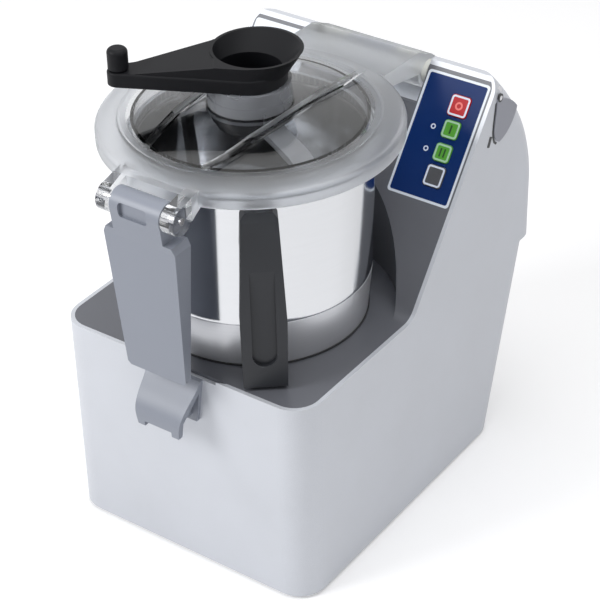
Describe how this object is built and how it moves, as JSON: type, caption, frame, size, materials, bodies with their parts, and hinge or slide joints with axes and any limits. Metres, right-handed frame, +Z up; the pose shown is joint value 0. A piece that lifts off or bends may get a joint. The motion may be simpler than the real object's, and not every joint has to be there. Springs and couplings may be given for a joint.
{
  "type": "bowl cutter",
  "caption": "Table-top bowl cutter with a steel bowl, hinged clear lid with a front latch, hand-turned wall scraper and a sloping push-key panel.",
  "frame": {"origin": "on the bench plane, at the middle of the footprint", "axes": "+Z up, +X to the right of someone facing the machine, -Y towards them"},
  "size_m": [0.258, 0.408, 0.45],
  "materials": {
    "casting": "satin blasted",
    "deck_cover": "satin",
    "plate_steel": "plain",
    "foot_rubber": "matte",
    "screw_steel": "plain",
    "black_plastic": "moulded",
    "pale_plastic": "smooth",
    "panel_blue": "film",
    "board_green": "lacquered",
    "cap_grey": "satin",
    "motor_steel": "painted",
    "core_steel": "laminated",
    "copper": "enamelled",
    "cast_aluminium": "cast",
    "bearing_steel": "ground",
    "seal_rubber": "matte",
    "bowl_steel": "polished",
    "handle_plastic": "satin",
    "pin_steel": "ground",
    "latch_grey": "satin",
    "knife_steel": "ground",
    "clear_lid": "clear",
    "clear_seal": "translucent",
    "collar_clear": "clear",
    "bush_plastic": "plain",
    "crank_black": "satin",
    "scraper_grey": "satin",
    "blade_rubber": "matte",
    "key_red": "smooth",
    "key_green": "smooth",
    "key_black": "smooth"
  },
  "bodies": {
    "base": {"housing": "casting", "deck_cover": "deck_cover", "base_plate": "plate_steel", "feet": "foot_rubber", "service_panel": "plate_steel", "service_screws": "screw_steel", "inlet_gland": "black_plastic", "panel_bezel": "pale_plastic", "panel_overlay": "panel_blue", "left_plate": "pale_plastic", "key_board": "board_green", "side_caps": "cap_grey", "motor_shell": "motor_steel", "stator_core": "core_steel", "windings": "copper", "lower_shield": "cast_aluminium", "upper_shield": "cast_aluminium", "bearings": "bearing_steel", "spindle": "cast_aluminium", "shaft_seal": "seal_rubber", "bowl_seat": "black_plastic", "bowl": "bowl_steel", "bowl_base": "cast_aluminium", "bowl_handle": "handle_plastic", "hinge_shaft": "pin_steel", "catch": "latch_grey", "control_board": "board_green", "lid_switch": "black_plastic"},
    "drive": {"motor_shaft": "pin_steel", "rotor": "core_steel", "cooling_fan": "black_plastic", "knife_hub": "black_plastic", "hub_cap": "black_plastic", "lower_knife": "knife_steel", "upper_knife": "knife_steel"},
    "lid": {"lid_dome": "clear_lid", "lid_seal": "clear_seal", "lid_collar": "collar_clear", "hinge_bushes": "bush_plastic", "latch_pin": "pin_steel"},
    "scraper": {"crank_funnel": "crank_black", "crank_knob": "crank_black", "scraper_hub": "crank_black", "scraper_arm": "scraper_grey", "scraper_blades": "blade_rubber"},
    "latch": {"latch_lever": "latch_grey"},
    "stop_key_body": {"stop_key": "key_red"},
    "speed_one_key_body": {"speed_one_key": "key_green"},
    "speed_two_key_body": {"speed_two_key": "key_green"},
    "pulse_key_body": {"pulse_key": "key_black"}
  },
  "joints": [
    {"name": "knife_spin", "type": "hinge", "parent": "base", "child": "drive", "pos_m": [0, -0.051, 0.24], "axis": [0, 0, 1], "continuous": true},
    {"name": "lid_hinge", "type": "hinge", "parent": "base", "child": "lid", "pos_m": [0, 0.132, 0.359], "axis": [-1, 0, 0], "range_deg": [0, 95]},
    {"name": "scraper_spin", "type": "hinge", "parent": "lid", "child": "scraper", "pos_m": [0, -0.051, 0.4], "axis": [0, 0, 1], "continuous": true},
    {"name": "latch_hinge", "type": "hinge", "parent": "lid", "child": "latch", "pos_m": [0, -0.192, 0.368], "axis": [-1, 0, 0], "range_deg": [0, 75]},
    {"name": "stop_key_press", "type": "slide", "parent": "base", "child": "stop_key_body", "axis": [0, 0.7891, -0.6143], "range_m": [0, 0.0006], "stiffness_N_per_m": 400, "springref_m": -0.001},
    {"name": "speed_one_key_press", "type": "slide", "parent": "base", "child": "speed_one_key_body", "axis": [0, 0.7891, -0.6143], "range_m": [0, 0.0006], "stiffness_N_per_m": 400, "springref_m": -0.001},
    {"name": "speed_two_key_press", "type": "slide", "parent": "base", "child": "speed_two_key_body", "axis": [0, 0.7891, -0.6143], "range_m": [0, 0.0006], "stiffness_N_per_m": 400, "springref_m": -0.001},
    {"name": "pulse_key_press", "type": "slide", "parent": "base", "child": "pulse_key_body", "axis": [0, 0.7891, -0.6143], "range_m": [0, 0.0006], "stiffness_N_per_m": 400, "springref_m": -0.001}
  ]
}
